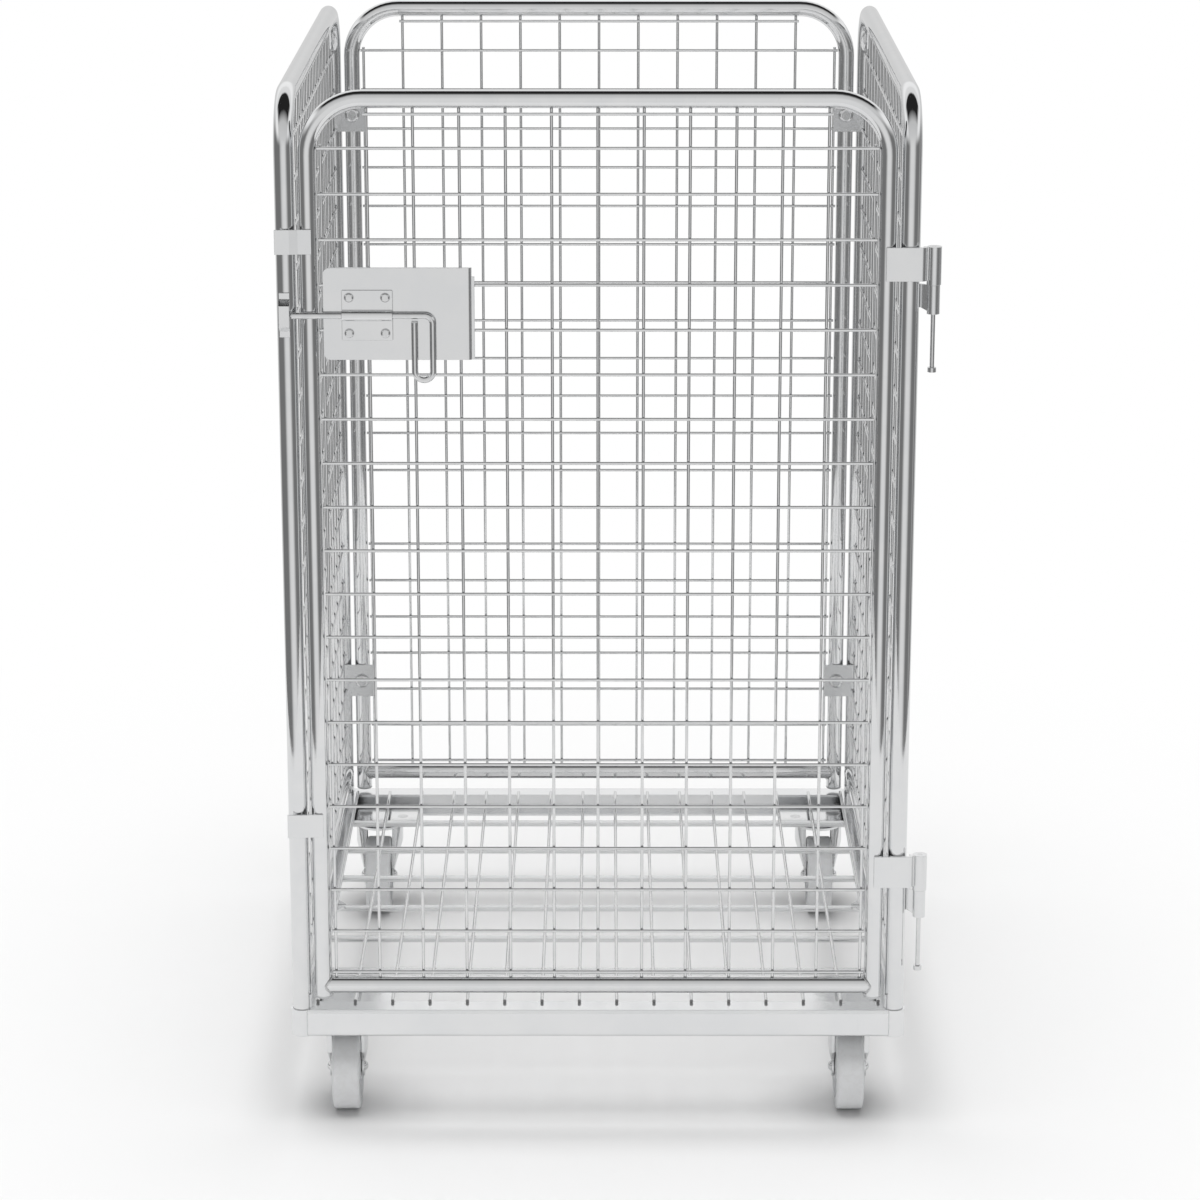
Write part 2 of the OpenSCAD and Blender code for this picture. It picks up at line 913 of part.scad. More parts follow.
// Fixed knuckle under a barrel that starts at height z, welded to the right post by its web
module knuckle(z) {
    head_z = z - face_gap;
    foot_z = head_z - knuckle_h;
    web_top = head_z - face_gap;
    difference() {
        union() {
            translate([axis_x, axis_y, foot_z])
                cylinder(d = knuckle_d, h = knuckle_h);
            translate([axis_x, axis_y, 0])
                rotate([0, 0, 180 - knuckle_turn])
                    along_y(knuckle_web_t)
                        polygon([
                            [0, web_top],
                            [0, foot_z],
                            [knuckle_d, foot_z + knuckle_rise],
                            [hinge_out + post_r, foot_z + knuckle_rise],
                            [hinge_out + post_r, web_top]
                        ]);
        }
        translate([post_x, -post_y, foot_z - cut])
            cylinder(r = post_r + seat, h = knuckle_h + 2 * cut);
        translate([axis_x, axis_y, foot_z - cut])
            cylinder(r = pin_d / 2 + run_fit, h = knuckle_h + 2 * cut);
    }
}

module upper_knuckle() {
    color("gainsboro")
        knuckle(hinge_feet[0]);
}

module lower_knuckle() {
    color("gainsboro")
        knuckle(hinge_feet[1]);
}

// Pins held in the barrels, each with a long tail and a head below its knuckle
module hinge_pins() {
    tail_l = face_gap + knuckle_h + pin_tail;
    color("lightgray")
        for (z = hinge_feet)
            translate([axis_x, axis_y, z - tail_l]) {
                cylinder(d = pin_d, h = barrel_h + tail_l);
                cylinder(d = pin_head_d, h = pin_head_h);
            }
}

// Clip on the left door tube that steps forward and laps the front of the left post
module clip(z) {
    left = -post_x - post_r;
    right = -panel_x + clip_lap;
    slope_right = -panel_x - tube_r - swing_gap;
    slope_left = slope_right - clip_slope_w;
    lap_back = strap_back - clip_step;
    translate([0, 0, z - clip_h / 2])
        linear_extrude(clip_h)
            polygon([
                [right, strap_back],
                [slope_right, strap_back],
                [slope_left, lap_back],
                [left, lap_back],
                [left, lap_back - clip_t],
                [slope_left, lap_back - clip_t],
                [slope_right, strap_back - clip_t],
                [right, strap_back - clip_t]
            ]);
}

module upper_clip() {
    color("gainsboro")
        clip(top_z - clip_drop);
}

module lower_clip() {
    color("gainsboro")
        clip(deck_z + clip_rise);
}

// Latch

// Outline of the latch plate in the XZ plane, round at its left corners
module latch_outline() {
    translate([latch_left + latch_corner_r, latch_z])
        square([latch_w - latch_corner_r, latch_h]);
    translate([latch_left, latch_z + latch_corner_r])
        square([latch_w, latch_h - 2 * latch_corner_r]);
    for (z = [latch_corner_r, latch_h - latch_corner_r])
        translate([latch_left + latch_corner_r, latch_z + z])
            circle(latch_corner_r);
}

// Children at the four rivets of the bolt guide, with the axis along -Y from the guide's face
module rivet_places() {
    for (x = [-0.5, 0.5], z = [-0.5, 0.5])
        translate([guide_left + guide_w / 2 + x * rivet_pitch, guide_front, bolt_z + z * rivet_pitch])
            rotate([90, 0, 0])
                children();
}

module rivet_holes() {
    rivet_places()
        translate([0, 0, -guide_t - latch_t - cut])
            cylinder(r = rivet_d / 2 + seat, h = guide_t + latch_t + 2 * cut);
}

// Plan of the latch plate in the XY plane: flat, with its right edge rolled back to the mesh
module latch_plan() {
    intersection() {
        union() {
            translate([latch_left, latch_front])
                square([latch_w - fold_r, fold_r]);
            translate([fold_x, fold_back])
                circle(fold_r);
        }
        translate([latch_left, latch_front])
            square([latch_w, fold_r]);
    }
}

// Plan of the hollow behind the latch plate
module latch_hollow() {
    translate([latch_left - cut, latch_front + latch_t])
        square([fold_x - latch_left + cut, fold_r]);
    translate([fold_x, fold_back])
        circle(fold_r - latch_t);
}

// Plate with its top, bottom and right edges folded back against the mesh, and a lip along the right one
module latch_plate() {
    color("gainsboro")
        difference() {
            union() {
                intersection() {
                    translate([0, latch_front, 0])
                        along_y(2 * fold_r + cut)
                            latch_outline();
                    translate([0, 0, latch_z])
                        linear_extrude(latch_h)
                            latch_plan();
                }
                translate([latch_left + latch_w - latch_t / 2, fold_back - latch_t, latch_z])
                    cube([latch_t / 2 + latch_lip_w, latch_t, latch_h - latch_lip_drop]);
            }
            translate([0, 0, latch_z + latch_t])
                linear_extrude(latch_h - 2 * latch_t)
                    latch_hollow();
            translate([latch_left - cut, latch_front + latch_t, latch_z - cut])
                cube([latch_corner_r + cut, fold_r, latch_h + 2 * cut]);
            rivet_holes();
        }
}

// Guide with a half-round channel for the bolt, open to the latch plate
module bolt_guide() {
    color("silver")
        difference() {
            along_x(guide_left, guide_w)
                difference() {
                    union() {
                        translate([guide_front, bolt_z - guide_w / 2])
                            square([guide_t, guide_w]);
                        translate([bolt_y, bolt_z])
                            circle(guide_inner_r + guide_t);
                    }
                    translate([bolt_y, bolt_z])
                        circle(guide_inner_r);
                    translate([bolt_y, bolt_z - guide_inner_r])
                        square([2 * guide_inner_r, 2 * guide_inner_r]);
                    translate([guide_front + guide_t, bolt_z - guide_w])
                        square([2 * guide_w, 2 * guide_w]);
                }
            rivet_holes();
        }
}

module guide_rivets() {
    color("lightgray")
        rivet_places() {
            translate([0, 0, seat])
                pan_head(rivet_head_d, rivet_head_h, rivet_rim_r);
            translate([0, 0, -guide_t - latch_t - seat])
                cylinder(d = rivet_d, h = guide_t + latch_t + 2 * seat);
        }
}

// Round bolt whose end is bent down and back up to make the handle
module latch_bolt() {
    turn_r = handle_gap / 2;
    leg_x = handle_x + handle_gap;
    turn_z = bolt_z - handle_drop + turn_r + bolt_r;
    bend_z = bolt_z - handle_bend_r;
    color("lightgray")
        translate([0, bolt_y, 0]) {
            translate([bolt_tip, 0, bolt_z])
                rotate([0, 90, 0])
                    cylinder(d = bolt_d, h = leg_x - handle_bend_r - bolt_tip);
            translate([leg_x - handle_bend_r, 0, bend_z])
                rotate([90, 0, 0])
                    rotate_extrude(angle = 90)
                        translate([handle_bend_r, 0])
                            circle(d = bolt_d);
            translate([leg_x, 0, turn_z])
                cylinder(d = bolt_d, h = bend_z - turn_z);
            translate([handle_x + turn_r, 0, turn_z])
                rotate([-90, 0, 0])
                    rotate_extrude(angle = 180)
                        translate([turn_r, 0])
                            circle(d = bolt_d);
            translate([handle_x, 0, turn_z])
                cylinder(d = bolt_d, h = bolt_z - bolt_r - handle_end_gap - turn_z);
        }
}

// Hat-shaped strap on the left post that the bolt passes behind
module keeper() {
    face_back = bolt_y - bolt_r - swing_gap;
    face_front = face_back - keeper_t;
    foot_front = post_front - keeper_t;
    foot_back = post_front + post_r;
    face_z = keeper_face_h / 2;
    slope_z = face_z + keeper_slope_h;
    foot_z = slope_z + keeper_foot_h;
    step = foot_front - face_front;
    inner_z = face_z - keeper_t * (norm([step, keeper_slope_h]) - keeper_slope_h) / step;
    seat_z = inner_z + keeper_slope_h;
    color("gainsboro")
        difference() {
            along_x(keeper_left, keeper_w)
                translate([0, bolt_z])
                    polygon([
                        [foot_back, -foot_z],
                        [foot_front, -foot_z],
                        [foot_front, -slope_z],
                        [face_front, -face_z],
                        [face_front, face_z],
                        [foot_front, slope_z],
                        [foot_front, foot_z],
                        [foot_back, foot_z],
                        [foot_back, seat_z],
                        [post_front, seat_z],
                        [face_back, inner_z],
                        [face_back, -inner_z],
                        [post_front, -seat_z],
                        [foot_back, -seat_z]
                    ]);
            translate([-post_x, -post_y, bolt_z - panel_h / 2])
                cylinder(r = post_r + seat, h = panel_h);
        }
}

// Casters

// Form of the right-hand leg: rounded on its outer side from top down to shoulder, then narrowing to a neck
// above the axle at -offset; inset moves its walls inwards
module leg_form(half_w, shoulder, top, offset, inset) {
    edge_r = min(leg_edge_r, half_w - leg_in - fork_t / 2);
    neck_x = inset > 0 ? leg_in - inset - seat : leg_in;
    neck_half = leg_neck_w / 2 - inset;
    hull() {
        translate([0, 0, shoulder])
            linear_extrude(top - inset - shoulder)
                intersection() {
                    union() {
                        for (s = [-1, 1])
                            translate([half_w - edge_r, s * (leg_w / 2 - edge_r)])
                                circle(edge_r - inset);
                        translate([leg_in - inset, inset - leg_w / 2])
                            square([fork_t, leg_w - 2 * inset]);
                    }
                    translate([leg_in - inset, -leg_w / 2])
                        square([half_w, leg_w]);
                }
        translate([neck_x, -neck_half - offset, axle_z + leg_neck])
            cube([fork_t, 2 * neck_half, fork_t]);
    }
}

// Two legs, each a channel open to the wheel with a round end drilled for the axle
module fork_legs(half_w, shoulder, top, offset) {
    both_sides()
        difference() {
            union() {
                leg_form(half_w, shoulder, top, offset, 0);
                along_x(leg_in, fork_t)
                    translate([-offset, axle_z])
                        circle(leg_end_r);
            }
            leg_form(half_w, shoulder, top, offset, fork_t);
            translate([0, -offset, axle_z])
                bar_x(axle_d + 2 * seat, fork_top_w);
        }
}

module caster_plate() {
    difference() {
        translate([-caster_plate_w / 2, -caster_plate_l / 2, plate_z])
            cube([caster_plate_w, caster_plate_l, caster_plate_t]);
        for (x = [-0.5, 0.5], y = [-0.5, 0.5])
            translate([x * caster_bolt_x, y * caster_bolt_y, plate_z - cut])
                cylinder(r = caster_bolt_d / 2 + bolt_fit, h = caster_plate_t + 2 * cut);
    }
}

module fixed_bracket() {
    color("silver") {
        caster_plate();
        fork_legs(fixed_top_w / 2, wheel_d - fixed_shoulder, plate_z + seat, 0);
    }
}

module swivel_plate() {
    race_foot = crown_z + face_gap;
    color("silver")
        difference() {
            union() {
                caster_plate();
                translate([0, 0, race_foot])
                    cylinder(d1 = race_d - race_h, d2 = race_d, h = plate_z + seat - race_foot);
            }
            translate([0, 0, race_foot - cut])
                cylinder(d = king_pin_d + 2 * seat, h = race_h + caster_plate_t + 2 * cut);
        }
}

module king_pin() {
    head_z = crown_z - fork_t - face_gap - king_head_h;
    color("lightgray")
        translate([0, 0, head_z]) {
            cylinder(d = king_head_d, h = king_head_h);
            cylinder(d = king_pin_d, h = caster_z - seat - head_z);
        }
}

module swivel_fork() {
    color("silver")
        difference() {
            union() {
                fork_legs(fork_top_w / 2, wheel_d - fork_shoulder, crown_z, trail);
                translate([0, 0, crown_z - fork_t])
                    cylinder(d = fork_top_w, h = fork_t);
            }
            translate([0, 0, crown_z - fork_t - cut])
                cylinder(r = king_pin_d / 2 + run_fit, h = fork_t + 2 * cut);
        }
}

// Riveted axle at -offset from the caster's middle
module axle(offset) {
    color("lightgray")
        translate([0, -offset, axle_z]) {
            bar_x(axle_d, leg_out + seat);
            both_sides()
                translate([leg_out + seat, 0, 0])
                    rotate([0, 90, 0])
                        dome(axle_head_d, axle_head_h);
        }
}

module bush(offset) {
    color("dimgray")
        translate([0, -offset, axle_z])
            difference() {
                bar_x(bush_d, bush_l / 2);
                bar_x(axle_d + 2 * seat, bush_l);
            }
}

// Half section of the wheel: x is the radius, y runs along the axle
module wheel_section() {
    tread_r = wheel_d / 2;
    rim_r = tread_r - rim_depth;
    difference() {
        union() {
            translate([rim_r, -wheel_w / 2])
                square([rim_depth - tread_edge_r, wheel_w]);
            translate([rim_r, tread_edge_r - wheel_w / 2])
                square([rim_depth, wheel_w - 2 * tread_edge_r]);
            for (s = [-1, 1])
                translate([tread_r - tread_edge_r, s * (wheel_w / 2 - tread_edge_r)])
                    circle(tread_edge_r);
            translate([0, -web_t / 2])
                square([rim_r + cut, web_t]);
            translate([0, -wheel_w / 2])
                square([hub_d / 2, wheel_w]);
        }
        translate([0, -wheel_w])
            square([bush_d / 2 + run_fit, 2 * wheel_w]);
    }
}

module wheel(offset) {
    color("darkgray")
        translate([0, -offset, axle_z])
            rotate([0, 90, 0])
                rotate_extrude()
                    wheel_section();
}

// Bolts whose heads lie flush in the corner plates
module caster_bolts() {
    foot_z = plate_z - caster_nut_t - 2 * seat;
    color("lightgray")
        caster_bolt_places() {
            translate([0, 0, foot_z])
                cylinder(d = caster_bolt_d, h = corner_z - foot_z);
            translate([0, 0, corner_z - caster_head_t])
                cylinder(d = caster_head_d, h = caster_head_t);
        }
}

module caster_nuts() {
    color("gray")
        caster_bolt_places()
            translate([0, 0, plate_z - caster_nut_t - seat])
                difference() {
                    hexagon(caster_nut_w, caster_nut_t);
                    translate([0, 0, -cut])
                        cylinder(r = caster_bolt_d / 2 + seat, h = caster_nut_t + 2 * cut);
                }
}

// Children at one corner: side is -1 on the left and 1 on the right, end is -1 in front and 1 behind
module at_caster(side, end) {
    translate([side * caster_x, end * caster_y, 0])
        children();
}

front_rail();
rear_rail();
left_rail();
right_rail();
post_sockets();
corner_plates();
deck_crossbars();
deck_gussets();
deck_wires();
left_side_frame();
left_side_rail();
left_side_mesh();
right_side_frame();
right_side_rail();
right_side_mesh();
back_frame();
back_rail();
back_mesh();
back_plugs();
bracket_plates();
bracket_bolts();
bracket_nuts();
upper_knuckle();
lower_knuckle();
keeper();
door_frame();
door_rail();
door_mesh();
door_plugs();
upper_strap();
lower_strap();
hinge_pins();
upper_clip();
lower_clip();
latch_plate();
bolt_guide();
guide_rivets();
latch_bolt();
caster_bolts();
caster_nuts();
at_caster(-1, -1) fixed_bracket();  // front_left_bracket
at_caster(-1, -1) axle(0);  // front_left_axle
at_caster(-1, -1) bush(0);  // front_left_bush
at_caster(-1, -1) wheel(0);  // front_left_wheel
at_caster(1, -1) fixed_bracket();  // front_right_bracket
at_caster(1, -1) axle(0);  // front_right_axle
at_caster(1, -1) bush(0);  // front_right_bush
at_caster(1, -1) wheel(0);  // front_right_wheel
at_caster(-1, 1) swivel_plate();  // rear_left_swivel_plate
at_caster(-1, 1) king_pin();  // rear_left_king_pin
at_caster(-1, 1) swivel_fork();  // rear_left_fork
at_caster(-1, 1) axle(trail);  // rear_left_axle
at_caster(-1, 1) bush(trail);  // rear_left_bush
at_caster(-1, 1) wheel(trail);  // rear_left_wheel
at_caster(1, 1) swivel_plate();  // rear_right_swivel_plate
at_caster(1, 1) king_pin();  // rear_right_king_pin
at_caster(1, 1) swivel_fork();  // rear_right_fork
at_caster(1, 1) axle(trail);  // rear_right_axle
at_caster(1, 1) bush(trail);  // rear_right_bush
at_caster(1, 1) wheel(trail);  // rear_right_wheel
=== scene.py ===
import json
import math

import bpy
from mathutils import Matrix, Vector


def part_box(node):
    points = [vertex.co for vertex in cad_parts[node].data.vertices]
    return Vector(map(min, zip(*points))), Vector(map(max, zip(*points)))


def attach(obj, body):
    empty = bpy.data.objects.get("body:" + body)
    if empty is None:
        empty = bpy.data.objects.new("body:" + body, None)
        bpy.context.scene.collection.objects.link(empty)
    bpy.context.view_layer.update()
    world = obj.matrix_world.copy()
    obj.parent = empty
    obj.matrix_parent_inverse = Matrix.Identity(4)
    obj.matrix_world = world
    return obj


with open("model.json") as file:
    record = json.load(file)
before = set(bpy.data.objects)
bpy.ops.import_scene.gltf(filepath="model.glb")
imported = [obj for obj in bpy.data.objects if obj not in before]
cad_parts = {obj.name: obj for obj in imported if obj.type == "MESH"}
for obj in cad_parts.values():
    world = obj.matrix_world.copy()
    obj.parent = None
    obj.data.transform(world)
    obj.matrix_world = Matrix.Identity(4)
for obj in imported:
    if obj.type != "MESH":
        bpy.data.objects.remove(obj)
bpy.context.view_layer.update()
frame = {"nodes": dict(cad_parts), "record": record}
nodes = frame["nodes"]
scene = bpy.context.scene


# Shader graphs

BUMP = 0.5
EDGE_SAMPLES, CORNER_SAMPLES = 4, 8
MIDDLE = (0.3, 0.7)  # the part of a noise's range that is spread out


class Graph:
    """A node tree with short calls for the nodes used here."""

    def __init__(self, tree):
        self.tree = tree

    def new(self, kind, **values):
        node = self.tree.nodes.new(kind)
        for key, value in values.items():
            setattr(node, key, value)
        return node

    def put(self, value, socket):
        """Links an output to a socket, or sets a plain number or colour on it."""
        if isinstance(value, bpy.types.NodeSocket):
            self.tree.links.new(value, socket)
        elif isinstance(value, tuple):
            socket.default_value = (*value, 1.0)
        else:
            socket.default_value = value

    def calc(self, operation, *values):
        node = self.new("ShaderNodeMath", operation=operation)
        for value, socket in zip(values, node.inputs):
            self.put(value, socket)
        return node.outputs["Value"]

    def plus(self, value, mask, amount):
        """A value raised by an amount where a mask is 1."""
        return self.calc("ADD", value, self.calc("MULTIPLY", mask, amount))

    def radius(self, a, b):
        """Distance of a point in a plane from its origin."""
        squares = self.calc("MULTIPLY", a, a), self.calc("MULTIPLY", b, b)
        return self.calc("SQRT", self.calc("ADD", *squares))

    def ease(self, value, low, high, to_low, to_high):
        """Smooth step from to_low at low to to_high at high."""
        node = self.new("ShaderNodeMapRange", interpolation_type="SMOOTHSTEP")
        limits = {"From Min": low, "From Max": high, "To Min": to_low, "To Max": to_high}
        for key, number in limits.items():
            node.inputs[key].default_value = number
        self.put(value, node.inputs["Value"])
        return node.outputs["Result"]

    def split(self, vector):
        node = self.new("ShaderNodeSeparateXYZ")
        self.put(vector, node.inputs["Vector"])
        return node.outputs

    def noise(self, vector, scale, detail, rough=0.5, distort=0.0):
        node = self.new("ShaderNodeTexNoise")
        settings = {"Scale": scale, "Detail": detail, "Roughness": rough, "Distortion": distort}
        for key, number in settings.items():
            node.inputs[key].default_value = number
        self.put(vector, node.inputs["Vector"])
        return node.outputs["Fac"]

    def stretched(self, vector, scale):
        node = self.new("ShaderNodeMapping")
        node.inputs["Scale"].default_value = scale
        self.put(vector, node.inputs["Vector"])
        return node.outputs["Vector"]

    def mix(self, factor, a, b):
        node = self.new("ShaderNodeMix", data_type="RGBA")
        colours = [s for s in node.inputs if s.type == "RGBA"]
        self.put(factor, node.inputs["Factor"])
        self.put(a, colours[0])
        self.put(b, colours[1])
        return next(s for s in node.outputs if s.type == "RGBA")

    def bump(self, height, depth, normal=None):
        node = self.new("ShaderNodeBump")
        node.inputs["Distance"].default_value = depth
        node.inputs["Strength"].default_value = BUMP
        self.put(height, node.inputs["Height"])
        if normal:
            self.put(normal, node.inputs["Normal"])
        return node.outputs["Normal"]

    def rounded(self, radius):
        """Normals that round the sharp edges of a mesh by a radius."""
        node = self.new("ShaderNodeBevel", samples=EDGE_SAMPLES)
        node.inputs["Radius"].default_value = radius
        return node.outputs["Normal"]

    def openness(self, distance):
        """1 in the open and towards 0 in a corner, as seen over a short distance."""
        node = self.new("ShaderNodeAmbientOcclusion", samples=CORNER_SAMPLES)
        node.inputs["Distance"].default_value = distance
        return node.outputs["AO"]

    def dot(self, a, b):
        node = self.new("ShaderNodeVectorMath", operation="DOT_PRODUCT")
        self.put(a, node.inputs[0])
        self.put(b, node.inputs[1])
        return node.outputs["Value"]


def new_material(name):
    """A material with its graph, its Principled shader and its object coordinates."""
    material = bpy.data.materials.new(name)
    material.use_nodes = True
    g = Graph(material.node_tree)
    coord = g.new("ShaderNodeTexCoord").outputs["Object"]
    return material, g, material.node_tree.nodes["Principled BSDF"], coord


def grey(value, cool=0.0):
    """A near-neutral tone, a little blue for positive values of cool."""
    return (value * (1.0 - cool), value, value * (1.0 + cool))


# Zinc plating; a noise's numbers are its scale, detail, roughness and distortion

COOL_DARK, COOL_LIGHT = 0.010, 0.004
CLOUD_NOISE = (4.0, 0.55, 0.4)  # after a scale of its own
GRAIN_NOISE = (900.0, 2.0, 0.6)
HAIR_NOISE = (240.0, 3.0, 0.7, 2.5)
HAIR_STRETCH = (1.0, 1.0, 0.05)
SCRATCHED = (0.64, 0.70)
SCRATCH_SHADE, SCRATCH_TONE, SCRATCH_ROUGH = 0.18, 0.8, 0.06
RUBBED = (0.80, 0.98)
WORN, WORN_TONE = 0.6, 1.1
CUT_FACE = (0.85, 0.95)
RAW_STEEL, RAW_ROUGH = 0.30, 0.35
BEND_FROM, BEND_TO = (0.10, 0.30), (0.93, 0.995)
DULL, DULL_ROUGH = 0.9, 0.35
# Painted shade in corners: how far it looks, how open a point must be to stay clear, and its dark
# tone
CORNER_SHADE_REACH = 0.002
CORNER_SHADE_OPEN = (0.35, 0.85)
CORNER_SHADE_TONE = 0.12


def zinc(name, light, dark, gloss, cloud=30.0, depth=0.0000015, edge=0.0,
         raw_ends=False, dull_bends=False, painted_corner_shade=0.0):
    """Bright zinc plating with faint clouds, fine grain in the gloss and hairline scratches.

    edge rounds and rubs the edges over a radius, raw_ends shows bare steel on faces across Y,
    dull_bends takes the mirror off upper bends, and the amount for corners paints shade into the
    corners between pieces.
    """
    material, g, shader, coord = new_material(name)
    clouds = g.ease(g.noise(coord, cloud, *CLOUD_NOISE), *MIDDLE, 0.0, 1.0)
    colour = g.mix(clouds, grey(dark, COOL_DARK), grey(light, COOL_LIGHT))
    mottle = g.noise(coord, *GRAIN_NOISE)
    hair = g.noise(g.stretched(coord, HAIR_STRETCH), *HAIR_NOISE)
    scratch = g.ease(hair, *SCRATCHED, 0.0, 1.0)
    shade = g.calc("MULTIPLY", scratch, SCRATCH_SHADE)
    colour = g.mix(shade, colour, grey(dark * SCRATCH_TONE))
    geometry = g.new("ShaderNodeNewGeometry").outputs
    eased = None
    if edge:
        eased = g.rounded(edge)
        rubbed = g.ease(g.dot(eased, geometry["True Normal"]), *RUBBED, WORN, 0.0)
        colour = g.mix(rubbed, colour, grey(light * WORN_TONE))
    roughness = g.plus(g.ease(mottle, *MIDDLE, *gloss), scratch, SCRATCH_ROUGH)
    if raw_ends:
        along = g.split(geometry["True Normal"])["Y"]
        cut_face = g.ease(g.calc("ABSOLUTE", along), *CUT_FACE, 0.0, 1.0)
        colour = g.mix(cut_face, colour, grey(RAW_STEEL))
        roughness = g.plus(roughness, cut_face, RAW_ROUGH)
    shader.inputs["Metallic"].default_value = 1.0
    if dull_bends:
        up = g.split(geometry["Normal"])["Z"]
        bend = g.calc("MULTIPLY", g.ease(up, *BEND_FROM, 0.0, 1.0), g.ease(up, *BEND_TO, 1.0, 0.0))
        roughness = g.plus(roughness, bend, DULL_ROUGH)
        g.put(g.calc("SUBTRACT", 1.0, g.calc("MULTIPLY", bend, DULL)), shader.inputs["Metallic"])
    # Painted shade: the colour darkens in corners and where pieces meet, the more closed in, the
    # darker
    if painted_corner_shade:
        corner_shade_mask = g.ease(g.openness(CORNER_SHADE_REACH), *CORNER_SHADE_OPEN, painted_corner_shade, 0.0)
        colour = g.mix(corner_shade_mask, colour, grey(CORNER_SHADE_TONE))
    g.put(colour, shader.inputs["Base Color"])
    g.put(roughness, shader.inputs["Roughness"])
    g.put(g.bump(mottle, depth, eased), shader.inputs["Normal"])
    return material


# Nylon

NYLON_COOL = 0.012
FLOW_NOISE = (28.0, 4.0, 0.6, 0.8)
NYLON_NOISE = (1400.0, 2.0)
NYLON_DEPTH = 0.00004
NYLON_GLOSS = (0.40, 0.52)
SCUFF_NOISE = (130.0, 5.0, 0.65, 0.6)
SCUFFED = (0.42, 0.64)
SCUFF_LEAST = 0.3
TREAD_FROM = 0.95
DUST, DUST_TONE, DUST_WARM, DUST_ROUGH = 0.20, 0.75, -0.02, 0.2
WHEEL_LIGHT, WHEEL_DARK = 0.80, 0.77


def nylon(name, light, dark, axle=None, radius=None):
    """Moulded nylon with fine grain and faint flow marks.

    A wheel, which has an axle and a radius, is also scuffed and dusty round its tread.
    """
    material, g, shader, coord = new_material(name)
    flow = g.ease(g.noise(coord, *FLOW_NOISE), *MIDDLE, 0.0, 1.0)
    colour = g.mix(flow, grey(dark, NYLON_COOL), grey(light, NYLON_COOL))
    grain = g.noise(coord, *NYLON_NOISE)
    roughness = g.ease(grain, *MIDDLE, *NYLON_GLOSS)
    if axle:
        place = g.split(coord)
        y = g.calc("SUBTRACT", place["Y"], axle[0])
        z = g.calc("SUBTRACT", place["Z"], axle[1])
        tread = g.ease(g.radius(y, z), TREAD_FROM * radius, radius, 0.0, 1.0)
        scuff = g.ease(g.noise(coord, *SCUFF_NOISE), *SCUFFED, SCUFF_LEAST, 1.0)
        dust = g.calc("MULTIPLY", tread, scuff)
        colour = g.mix(g.calc("MULTIPLY", dust, DUST), colour, grey(dark * DUST_TONE, DUST_WARM))
        roughness = g.plus(roughness, dust, DUST_ROUGH)
    g.put(colour, shader.inputs["Base Color"])
    g.put(roughness, shader.inputs["Roughness"])
    g.put(g.bump(grain, NYLON_DEPTH), shader.inputs["Normal"])
    return material


def wheel_nylon(node):
    """The nylon of one wheel, with its dust round that wheel's own axle."""
    low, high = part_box(node)
    axle = ((low[1] + high[1]) / 2, (low[2] + high[2]) / 2)
    return nylon("grey_nylon_" + node, WHEEL_LIGHT, WHEEL_DARK, axle, (high[2] - low[2]) / 2)


# Materials of the CAD nodes

WIRE_TONES = (0.77, 0.73, (0.06, 0.11))
BY_SLOT = {
    "tube": zinc("zinc_tube", 0.79, 0.76, (0.04, 0.08), painted_corner_shade=0.8),
    "wire": zinc("zinc_wire", *WIRE_TONES, cloud=60.0, painted_corner_shade=0.9),
    "base": zinc("zinc_base", 0.83, 0.80, (0.12, 0.20), cloud=16.0, edge=0.0006, dull_bends=True),
    "plate": zinc("zinc_plate", 0.79, 0.77, (0.14, 0.22), cloud=20.0, edge=0.0005, painted_corner_shade=0.6),
    "fastener": zinc("zinc_fastener", 0.75, 0.70, (0.12, 0.20), cloud=90.0, edge=0.0003, painted_corner_shade=0.6),
    "bush": nylon("dark_nylon", 0.16, 0.11),
    "plug": nylon("light_plastic", 0.68, 0.62),
}
BY_NODE = {
    "deck_wires": zinc("zinc_deck_wire", *WIRE_TONES, cloud=60.0, raw_ends=True, painted_corner_shade=0.9),
    "deck_crossbars": zinc("zinc_crossbar", 0.79, 0.76, (0.10, 0.16), cloud=40.0,
                           dull_bends=True, painted_corner_shade=0.8),
    "corner_plates": zinc("zinc_bright_plate", 0.80, 0.77, (0.08, 0.14), cloud=20.0, edge=0.0006),
}
WELD = zinc("zinc_weld", 0.68, 0.56, (0.22, 0.34), cloud=140.0, depth=0.00001)

SLOTS = {s["node"]: s["material_slot"] for s in frame["record"]["subparts"]}
for name, obj in nodes.items():
    if SLOTS[name] == "wheel":
        material = wheel_nylon(name)
    else:
        material = BY_NODE.get(name, BY_SLOT.get(SLOTS[name]))
    obj.data.materials.clear()
    obj.data.materials.append(material)


# Weld beads, each group one curve object

BEAD_R = 0.0011
BEAD_STEP = 0.0012
RIPPLE = 0.22
RIPPLE_STEPS = 4  # points in one ripple


def bead_group(name, body, paths):
    """Rippled beads along closed paths, which ride on a body."""
    curve = bpy.data.curves.new(name, "CURVE")
    curve.dimensions = "3D"
    curve.bevel_depth = BEAD_R
    curve.bevel_resolution = 2
    for path in paths:
        spline = curve.splines.new("POLY")
        spline.points.add(len(path) - 1)
        spline.use_cyclic_u = True
        for i, (point, place) in enumerate(zip(spline.points, path)):
            point.co = (*place, 1.0)
            point.radius = 1.0 + RIPPLE * math.sin(2 * math.pi * i / RIPPLE_STEPS)
    obj = bpy.data.objects.new(name, curve)
    scene.collection.objects.link(obj)
    curve.materials.append(WELD)
    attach(obj, body)


def ring_angles(radius):
    """Angles of points a bead's step apart round a circle, a whole number of ripples."""
    count = RIPPLE_STEPS * round(2 * math.pi * radius / BEAD_STEP / RIPPLE_STEPS)
    return [2 * math.pi * k / count for k in range(count)]


